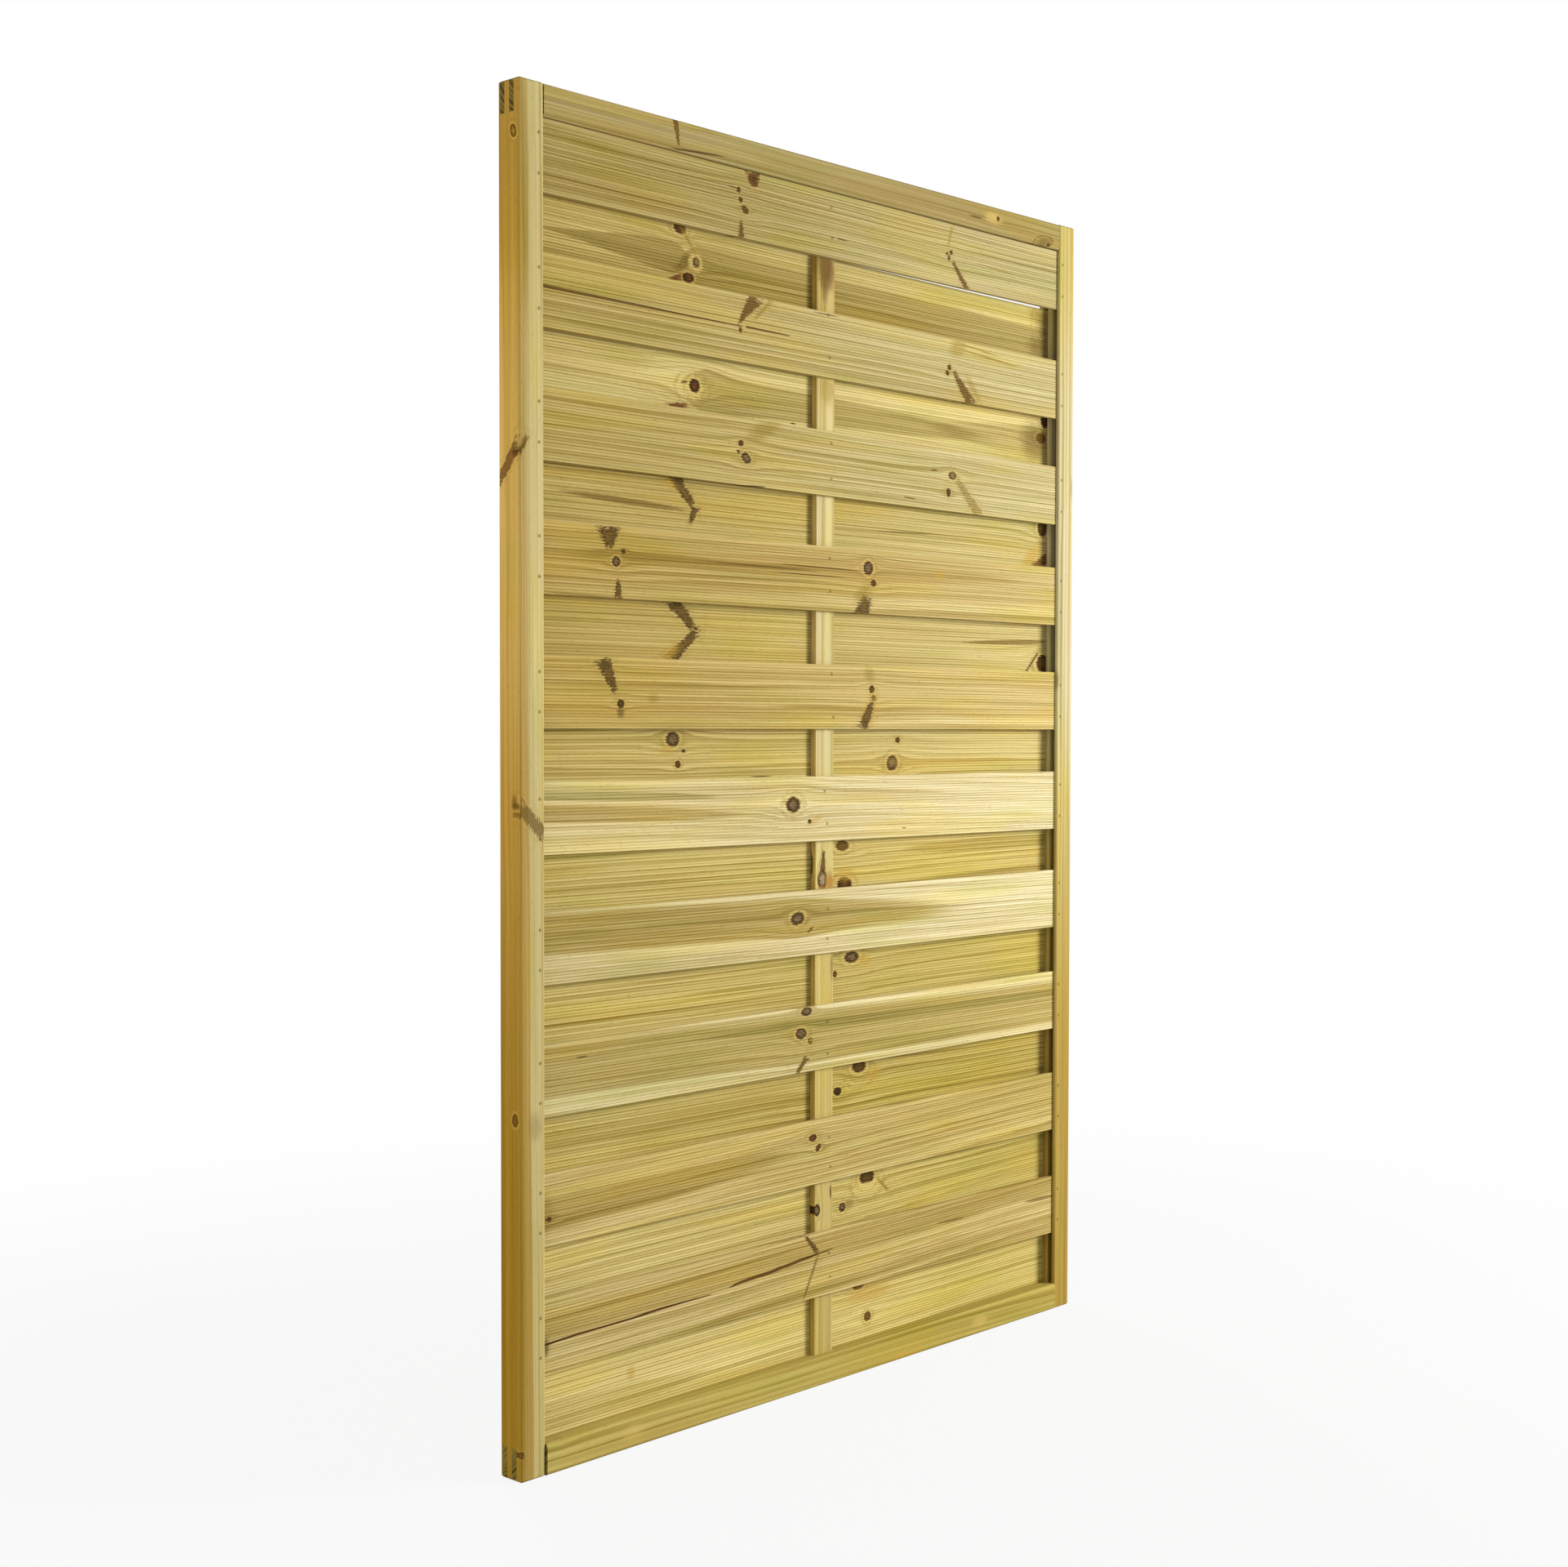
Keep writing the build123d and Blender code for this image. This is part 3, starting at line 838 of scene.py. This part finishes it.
def brad_places(node):
    """The middle of each brad in one piece, from the foot of the panel up, in millimetres."""
    points = [vertex.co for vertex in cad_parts[node].data.vertices]
    points.sort(key=lambda place: place.z)
    groups = [[points[0]]]
    for place in points[1:]:
        if place.z - groups[-1][-1].z > BRAD_GAP:
            groups.append([])
        groups[-1].append(place)
    return [sum(group, Vector()) / len(group) * MILLIMETRES for group in groups]


def with_iron(wood, node, grain, brads):
    """The same timber with a dark spot of iron stain round each brad that goes in at its front."""
    low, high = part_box(node)
    middle = (low + high) / 2 * MILLIMETRES
    spots = []
    for place in brad_places(brads):
        if low.z * MILLIMETRES < place.z < high.z * MILLIMETRES:
            where = (place.x, place.z - middle.z) if grain == "X" else (place.z, place.x - middle.x)
            spots.append(stain(*where, IRON_SPOT, IRON_SPOT, tint=IRON_DARK, strength=IRON_STRENGTH))
    return wood._replace(marks=(*wood.marks, *spots))


for number, board in front.items():
    node = f"front_slat_{number:02d}"
    dress(node, with_iron(board, node, "X", "front_batten_brads"), "X", REED_DEPTH)

# %% [markdown]
# The back slats lie in the shade of the front ones and are yellower. The upper two have a grey heart that
# opens round a knot, the third and fourth have long pockets of pitch, and the lower ones have large dark
# knots beside the batten.

# %% Back slats one and two
back = {}
back[1] = timber(21.3, pale=HONEY, shade=0.871, drift=-0.4, lines=0.45, marks=(
    knot(-293, 43, 12, 8, -10, KNOT_RIM, BARK_RED),
    disc(-262, 0, 14, 13),
    knot(-261, 1, 7, 7.6, bend=1.3),
    eye(-266, -3, 22, 20),
    eye(-270, 0, 34, 30),
    spike(-274, 26, 20, 2.6, -52, 0.0, OLIVE_STAIN, OLIVE_STAIN, 0.7),
    spike(-292, -24, 24, 4.5, 14, 0.5, BARK_RED, BARK_RED),
    knot(-276, -22, 11, 7, 5, KNOT_DARK, BARK_RED, bend=0.3),
    eye(548, 16, 26, 34),
    eye(548, 16, 38, 44),
    stain(548, 20, 18, 26, tint=BRANCH, strength=0.6),
    stain(528, 34, 22, 12),
    stain(532, -20, 26, 16, tint=BRANCH, strength=0.5),
), bands=(
    band(3, 20, GREY_HEART, 0.95, along=-330, long=235, edge=0.1, stop=-286, taper=0.95),
    band(-9, 29, GREY_HEART, 0.9, along=-290, long=1300, edge=0.1, start=-286),
))
back[2] = timber(22.8, pale=HONEY, shade=0.95, lines=0.4, marks=(
    disc(-266, -1, 21, 19),
    knot(-264, 1, 10.5, 9.6, 0, KNOT_DARK, BARK_RED, bend=1.9),
    pocket(-284, 4, 7, 1.6, 10, tint=KNOT_RIM),
    eye(-266, -2, 22, 19),
    eye(-268, -3, 36, 27),
    spike(-298, -30, 20, 3.4, 4, 0.2, BARK_RED, BARK_RED),
    pocket(-62, -32, 6, 1.2, tint=KNOT_RIM),
    knot(541, 2, 14, 9, tint=BRANCH, core=BARK_RED),
    knot(552, 32, 12, 13, tint=KNOT_DARK, core=KNOT_RIM),
    stain(522, -4, 32, 28, tint=BRANCH, strength=0.55),
), bands=(
    band(-7, 21, GREY_HEART, 0.9, along=-250, long=620, edge=0.1, start=-262),
    band(-2, 22, GREY_HEART, 0.7, along=600, long=330),
    band(20, 30, BROWN_HEART, 0.3, along=-560, long=200),
))
print("back boards so far:", len(back))

# %% Back slats three to five
back[3] = timber(23.5, pale=HONEY, shade=0.841, drift=-0.45, lines=0.45, marks=(
    pocket(-392, 3, 112, 4.4, -2.5),
    spike(-285, 24.5, 30, 8, -46, -0.4, KNOT_RIM),
    spike(-267, -7, 13, 5, 61, 0.3, KNOT_RIM),
    stain(-316, 35, 18, 8, -30, HONEY_STAIN),
    pocket(190, -4, 72, 0.9, 1, tint=BRANCH),
    knot(546, 26, 13, 16, core=BRANCH),
    spike(536, -35, 32, 8, 24, 0.1, BARK_RED),
    stain(515, -26, 30, 12, 40, HONEY_STAIN, 0.6),
))
back[4] = timber(24.2, pale=HONEY, shade=0.851, drift=-0.55, lines=0.45, marks=(
    spike(-286, 26, 31, 9, -42, -0.35, KNOT_RIM),
    spike(-286, -18, 33, 8, 38, -0.2, KNOT_RIM),
    stain(-312, -28, 20, 8, 30, HONEY_STAIN, 0.6),
    pocket(450, 5, 110, 4, 1.5, 0.3),
    knot(550, -28, 18, 15, core=BRANCH),
    eye(548, -28, 30, 24),
    spike(520, -26, 22, 2, 43, 0.0),
))
back[5] = timber(25.9, pale=HONEY, shade=0.913, drift=-0.4, lines=0.55, marks=(
    knot(-306, 22, 13, 10.5),
    knot(-285, 5.5, 4, 2.4, ring=0.3),
    knot(-296, -13, 5.6, 5.4, 0, KNOT_RIM, BARK_RED),
    stain(-318, 6, 12, 6, tint=HONEY_STAIN),
    knot(176, 17, 5.6, 4.6, ring=0.6),
    knot(163, -18, 13, 11.5, 15),
    stain(300, -17, 150, 8, tint=HONEY_STAIN, strength=0.35),
    pocket(-130, -33, 22, 0.9, tint=KNOT_RIM),
))
print("back boards so far:", len(back))

# %% Back slats six to ten
back[6] = timber(26.4, pale=GOLD, shade=0.908, lines=0.55, slope=0.009, marks=(
    knot(48, 25, 15, 8, 0, BRANCH, BRANCH_PALE),
    knot(54, -34, 17, 12, -10, KNOT_DARK, BARK_RED, bend=0.5),
    stain(55, -18, 20, 10, tint=HONEY_STAIN),
), bands=(
    band(12, 9, HEART, 0.5, along=420, long=220),
))
back[7] = timber(27.7, pale=GOLD, shade=0.912, drift=0.3, lines=0.6, slope=0.01, marks=(
    knot(70, 25, 17, 8.6),
    knot(32, 2, 4.6, 5, ring=0.5),
    stain(100, 18, 14, 8, tint=HONEY_STAIN),
))
back[8] = timber(28.6, pale=GOLD, shade=0.907, drift=0.5, lines=0.6, slope=-0.008, marks=(
    knot(88, 27, 16, 10, 0, KNOT_RIM, BRANCH),
    eye(88, 22, 26, 19),
    eye(88, 20, 40, 28),
    knot(39, -5, 9, 6.6, 0, KNOT_DARK, KNOT_RIM),
    stain(122, 12, 18, 12, 30, HONEY_STAIN, 0.5),
), bands=(
    band(-6, 13, HEART, 0.5, along=-350, long=420),
))
back[9] = timber(29.9, pale=HONEY, shade=1.04, drift=0.65, lines=0.5, slope=0.013, marks=(
    knot(107, 24, 17, 11, 0, KNOT_RIM, BRANCH),
    disc(107, 8, 30, 8),
    eye(107, 20, 27, 19),
    eye(107, 16, 42, 30),
    knot(50, -13, 7.6, 7, 0, KNOT_DARK, KNOT_CORE),
    spike(147, 5, 16, 2.4, -42, 0.0, OLIVE_STAIN, OLIVE_STAIN),
    stain(66, -10, 10, 7, tint=BARK_RED, strength=0.4),
    stain(520, -10, 70, 24, tint=HONEY_STAIN, strength=0.3),
))
back[10] = timber(30.2, pale=HONEY, shade=1.12, drift=0.55, lines=0.45, marks=(
    knot(87, 34, 13, 6, 0, KNOT_DARK, BARK_RED),
    knot(109, -17, 8, 7.6, 0, BRANCH, BRANCH_PALE),
    stain(110, 20, 50, 14, tint=HONEY_STAIN),
    stain(-385, 3, 7, 10, tint=HONEY_STAIN),
), bands=(
    band(-26, 14, HEART, 0.5, along=-500, long=250),
))
print("back boards:", len(back))

# %% Dress the back slats
for number, board in back.items():
    dress(f"back_slat_{number:02d}", board, "X", REED_DEPTH)

# %% [markdown]
# The batten is pale and smooth, with a brown heart near the top, a knot like a teardrop halfway and arched
# grain near the foot. Its marks are given by their height on the panel, because its grain runs upwards.

# %% The batten
BATTEN_TOP = (0.8, 0.73, 0.6, 1.0)
BATTEN_FOOT = (0.91, 0.87, 0.76, 1.0)
BATTEN_PALE = (1.02, 1.05, 1.36, 1.0)
# Painted shade: the batten's sides are darker and yellower than its front.
BATTEN_SIDE_SHADE = (0.95, 0.84, 0.56, 1.0)
batten = timber(41.0, pale=HONEY, shade=0.9, lines=0.5, pith=(2.0, 26.0), spacing=5.0, slope=0.004,
                side_tone=BATTEN_SIDE_SHADE, marks=(
    stain(1648, -2, 46, 15, tint=BRANCH, strength=0.85, taper=0.5),
    stain(1640, 10, 22, 9, tint=BARK_RED, strength=0.6),
    stain(1470, 3, 18, 14),
    knot(749, -4.5, 15, 10.5, 0, KNOT_DARK, PITH_GREY, bend=0.8, ring=0.4),
    spike(775, -3, 15, 4.4, 6, -0.4, KNOT_RIM),
    stain(744, 12, 14, 9, tint=AMBER, strength=0.9),
    stain(732, -6, 7, 8, tint=AMBER, strength=0.8),
    knot(258, -15, 9, 7, 0, KNOT_DARK, KNOT_CORE, ring=0.5),
    pocket(281, 15, 10, 1.8, tint=KNOT_RIM),
    stain(620, 19, 20, 5, tint=BARK_RED),
), bands=(
    patch(0, 60, BATTEN_TOP, 1.0, 1660, 200),
    patch(0, 60, BATTEN_FOOT, 1.0, 250, 400),
    patch(0, 60, BATTEN_PALE, 0.9, 1150, 240),
), side_marks=(
    # Painted shadow: a dark patch in the chip at the back edge of the left side.
    stain(772, 9, 16, 4, tint=KNOT_DARK, strength=1.0),
))
dress("centre_batten", batten, "Z")

# %% [markdown]
# The two stiles were cut with the heart of the tree towards the outside, so the left one is orange brown
# on its outer face and over half of its front, and pale beyond. Branches cross it at a slant. The right
# one is paler. Both have brads through the front, so they get their spots of iron stain as well.

# %% The stiles
LEFT_STILE_FOOT = (0.72, 0.7, 0.34, 1.0)
LEFT_STILE_PALE = (1.3, 1.42, 2.2, 1.0)
LEFT_STILE_TOP = (0.74, 0.66, 0.46, 1.0)
LEFT_STILE_SIDE = (1.2, 1.06, 0.66, 1.0)
RIGHT_STILE_FOOT = (0.8, 0.68, 0.42, 1.0)
RIGHT_STILE_PALE = (1.12, 1.2, 1.95, 1.0)
left_stile = timber(51.0, shade=0.82, lines=0.22, pith=(-75.0, 60.0), spacing=11.0, slope=-0.0047,
                    side_tone=LEFT_STILE_SIDE, marks=(
    spike(1335, -15, 13, 3, 28, 0.2),
    spike(855, 0, 29, 9, -47, 0.0, BRANCH, BRANCH_PALE, 0.8),
    stain(460, 3, 16, 10, tint=BRANCH, strength=0.3),
    knot(36, -19, 5, 3, 0, BRANCH, BRANCH_PALE, bend=0.5, ring=0.3),
), bands=(
    band(-20.5, 19.5, ORANGE_HEART, 0.85),
    patch(-30, 18, LEFT_STILE_FOOT, 0.95, 250, 500),
    patch(-26, 18, LEFT_STILE_PALE, 1.0, 1270, 330),
    patch(15, 14, SAP, 0.9, 1230, 330),
    patch(-3, 5, LEFT_STILE_TOP, 1.0, 1670, 150),
), side_marks=(
    spike(1312, 24, 34, 7, -38, 0.2, KNOT_RIM, BARK_RED, 0.8),
    knot(1733, 11, 9, 6, 20, BRANCH, OLIVE_STAIN),
    stain(880, 11, 9, 5, tint=BRANCH, strength=0.7),
    knot(470, 11, 9, 6, 0, BRANCH, BRANCH_PALE, ring=0.6),
))
right_stile = timber(52.0, pale=GOLD, shade=0.75, lines=0.5, pith=(40.0, 55.0), spacing=6.5, marks=(
    stain(1370, 19, 16, 5, tint=BRANCH, strength=0.4),
    stain(1050, -20, 14, 4, tint=BRANCH),
), bands=(
    patch(0, 90, RIGHT_STILE_FOOT, 1.0, 150, 520),
    patch(0, 90, RIGHT_STILE_PALE, 1.0, 1250, 330),
))
for side, wood in (("left_stile", left_stile), ("right_stile", right_stile)):
    dress(side, with_iron(wood, side, "Z", f"front_{side}_brads"), "Z")

# %% [markdown]
# The top rail is the darkest piece of the frame, with a yellow streak of sapwood to the left. The bottom
# rail is a brassy yellow.

# %% The rails
top_rail = timber(61.0, pale=TAN, shade=0.63, drift=0.25, lines=0.5, pith=(52.0, -30.0), spacing=6.0,
                  marks=(
    spike(-321, 5, 18, 4, -80, -0.5),
    pocket(-280, -16, 52, 1.4, 4, tint=KNOT_RIM),
    stain(380, 2, 20, 8, tint=HONEY_RING),
    knot(392, 3, 4, 4, ring=0.6),
    pocket(335, -3, 16, 1.4, tint=BRANCH),
    stain(515, -15, 20, 7, 12, BRANCH, 0.6),
    eye(513, -14, 28, 10, 12, BRANCH, 0.9),
    knot(527, -17, 5, 3, bend=0.5, ring=0.4),
), bands=(
    band(16, 12, YELLOW_SAP, 1.0, along=-520, long=260),
    band(-3, 7, BROWN_HEART, 0.3, along=260, long=420),
))
bottom_rail = timber(62.0, pale=BRASS, shade=0.8, drift=0.35, lines=0.6, pith=(46.0, 70.0),
                     spacing=6.0, slope=-0.012, marks=(
    knot(-536, 26, 6, 3.2, -15, bend=1.6),
    pocket(-520, 27, 12, 1.6, 12, tint=OLIVE_STAIN),
    stain(-405, 1, 18, 10, tint=HONEY_RING, strength=0.4),
    stain(170, -16, 40, 6, tint=HONEY_STAIN),
    stain(355, 0, 18, 8, tint=HONEY_RING, strength=0.4),
))
dress("top_rail", top_rail, "X")
dress("bottom_rail", bottom_rail, "X")

# %% [markdown]
# The brads and the corner pins are wire nails with no head to speak of. They are dull steel that has begun
# to rust, so a dark grey metal is mixed with brown by a fine noise.

# %% Brad steel
STEEL_GREY = colour(34, 31, 27)
RUST_BROWN = colour(52, 36, 20)
RUST_SCALE = 1400.0
RUST_DETAIL = 3.0
RUST_STEP = (0.42, 0.68)
STEEL_METALLIC = 0.3
STEEL_ROUGHNESS = 0.6
RUST_CHANGE = 0.3

brad_steel, steel = new_material("brad_steel")
rust = smooth(noise(Wire.node("ShaderNodeTexCoord", output="Object"), RUST_DETAIL, RUST_SCALE), *RUST_STEP)
feed(steel, "Base Color", mix(rust, STEEL_GREY, RUST_BROWN))
feed(steel, "Metallic", STEEL_METALLIC - rust * RUST_CHANGE)
feed(steel, "Roughness", STEEL_ROUGHNESS + rust * RUST_CHANGE)
wire_nodes = [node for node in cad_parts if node.endswith("_brads") or node == "corner_pins"]
for node in wire_nodes:
    coat(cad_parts[node], brad_steel)
print("pieces of wire:", len(wire_nodes))

# %% [markdown]
# A shop photograph of such a panel is lit by a large soft lamp to the right of it and by white walls all
# round. The walls are the world's even light. The white behind the panel is only what the camera sees of
# the world and the floor: the light that falls on the timber stays at a plain level.

# %% The white walls
WHITE = (1.0, 1.0, 1.0, 1.0)
WALL_LIGHT = (0.43, 0.42, 0.38, 1.0)


def seen_directly():
    """1 for what the camera, a gloss or glass sees of a surface, 0 for the light that it gives."""
    path = Wire.node("ShaderNodeLightPath")
    glossy = path.out("Is Camera Ray").math("MAXIMUM", path.out("Is Glossy Ray"))
    return glossy.math("MAXIMUM", path.out("Is Transmission Ray"))


scene = bpy.context.scene
scene.view_settings.view_transform = "Standard"
world = bpy.data.worlds.new("studio_walls")
scene.world = world
world.use_nodes = True
Wire.tree = world.node_tree
feed(world.node_tree.nodes["Background"], "Color", mix(seen_directly(), WALL_LIGHT, WHITE))
print("light from the walls:", WALL_LIGHT[:3])

# %% [markdown]
# The floor is a wide plain sheet. It takes the panel's shadow near the foot, and further away it fades
# into the white of the walls, so that no horizon shows.

# %% The floor
FLOOR_HALF = 14.0
FLOOR_GREY = (0.5, 0.5, 0.5, 1.0)
FLOOR_SHOW = 0.89
FLOOR_FADE = (0.9, 2.6)

floor_mesh = bpy.data.meshes.new("floor")
corners = [(x * FLOOR_HALF, y * FLOOR_HALF, 0.0) for x, y in ((-1, -1), (1, -1), (1, 1), (-1, 1))]
floor_mesh.from_pydata(corners, [], [(0, 1, 2, 3)])
floor = bpy.data.objects.new("floor", floor_mesh)
scene.collection.objects.link(floor)
floor_paint, plain = new_material("floor_paint")
floor_paint.node_tree.nodes.remove(plain)
matt = Wire.node("ShaderNodeBsdfDiffuse", None, {"Color": FLOOR_GREY})
glow = Wire.node("ShaderNodeEmission", None, {"Color": WHITE, "Strength": 1.0})
spread = Wire.node("ShaderNodeTexCoord", output="Object")
away = Wire.node("ShaderNodeVectorMath", {"operation": "LENGTH"}, {0: spread}, output="Value")
whiteness = FLOOR_SHOW + smooth(away, *FLOOR_FADE) * (1 - FLOOR_SHOW)
shown = Wire.node("ShaderNodeMixShader", None, {0: seen_directly() * whiteness, 1: matt, 2: glow})
feed(floor_paint.node_tree.nodes["Material Output"], "Surface", shown)
coat(floor, floor_paint)
print("floor side in metres:", 2 * FLOOR_HALF)

# %% [markdown]
# Three square area lamps point at the middle of the panel. The one on the right lights the front at a
# slant, which brings out the reeds. A weak one on the left lifts the outer face of the left stile, and one
# behind keeps the back from going dull. Each has a place and a size in metres and a power in watts.

# %% The lamps
LAMPS = (
    ("right_softbox", (2.75, -2.75, 1.65), 1.4, 200.0),
    ("left_softbox", (-3.4, -0.4, 1.3), 1.6, 44.0),
    ("back_softbox", (1.4, 3.2, 1.7), 1.8, 70.0),
)
panel_middle = (Vector(cad_box[0]) + Vector(cad_box[1])) / 2
for name, place, size, power in LAMPS:
    lamp = bpy.data.lights.new(name, "AREA")
    lamp.shape = "SQUARE"
    lamp.size = size
    lamp.energy = power
    holder = bpy.data.objects.new(name, lamp)
    aim = panel_middle - Vector(place)
    holder.location = place
    holder.rotation_euler = aim.to_track_quat("-Z", "Y").to_euler()
    scene.collection.objects.link(holder)
    print(name, "distance in metres:", round(aim.length, 2))

# %% [markdown]
# The camera stands to the left of the panel at chest height, a little over three metres away, so that the
# left stile shows its outer face. Its place, its turn and its lens were found from the panel's corners in
# the photograph.

# %% The camera
PHOTO_WIDTH = 1920
FOCAL_PIXELS = 2710.5
SENSOR_WIDTH = 36.0
CAMERA_PLACE = (-2.4373, -2.1931, 0.9956)
CAMERA_YAW = math.radians(47.01)
CAMERA_PITCH = math.radians(1.835)
CAMERA_ROLL = math.radians(0.109)

heading = Vector((math.sin(CAMERA_YAW), math.cos(CAMERA_YAW), 0.0))
ahead = heading * math.cos(CAMERA_PITCH) - Vector((0.0, 0.0, math.sin(CAMERA_PITCH)))
level = Vector((math.cos(CAMERA_YAW), -math.sin(CAMERA_YAW), 0.0))
upright = level.cross(ahead)
right = level * math.cos(CAMERA_ROLL) + upright * math.sin(CAMERA_ROLL)
above = upright * math.cos(CAMERA_ROLL) - level * math.sin(CAMERA_ROLL)
turn = Matrix((right, above, -ahead)).transposed().to_4x4()
lens = bpy.data.cameras.new("camera")
lens.sensor_fit = "HORIZONTAL"
lens.sensor_width = SENSOR_WIDTH
lens.lens = SENSOR_WIDTH * FOCAL_PIXELS / PHOTO_WIDTH
camera = bpy.data.objects.new("camera", lens)
camera.matrix_world = Matrix.Translation(CAMERA_PLACE) @ turn
scene.collection.objects.link(camera)
scene.camera = camera
print("lens in millimetres:", round(lens.lens, 2))

# %% [markdown]
# Nothing here changed a shape, so the box of what is seen has to be the box of the packed model.
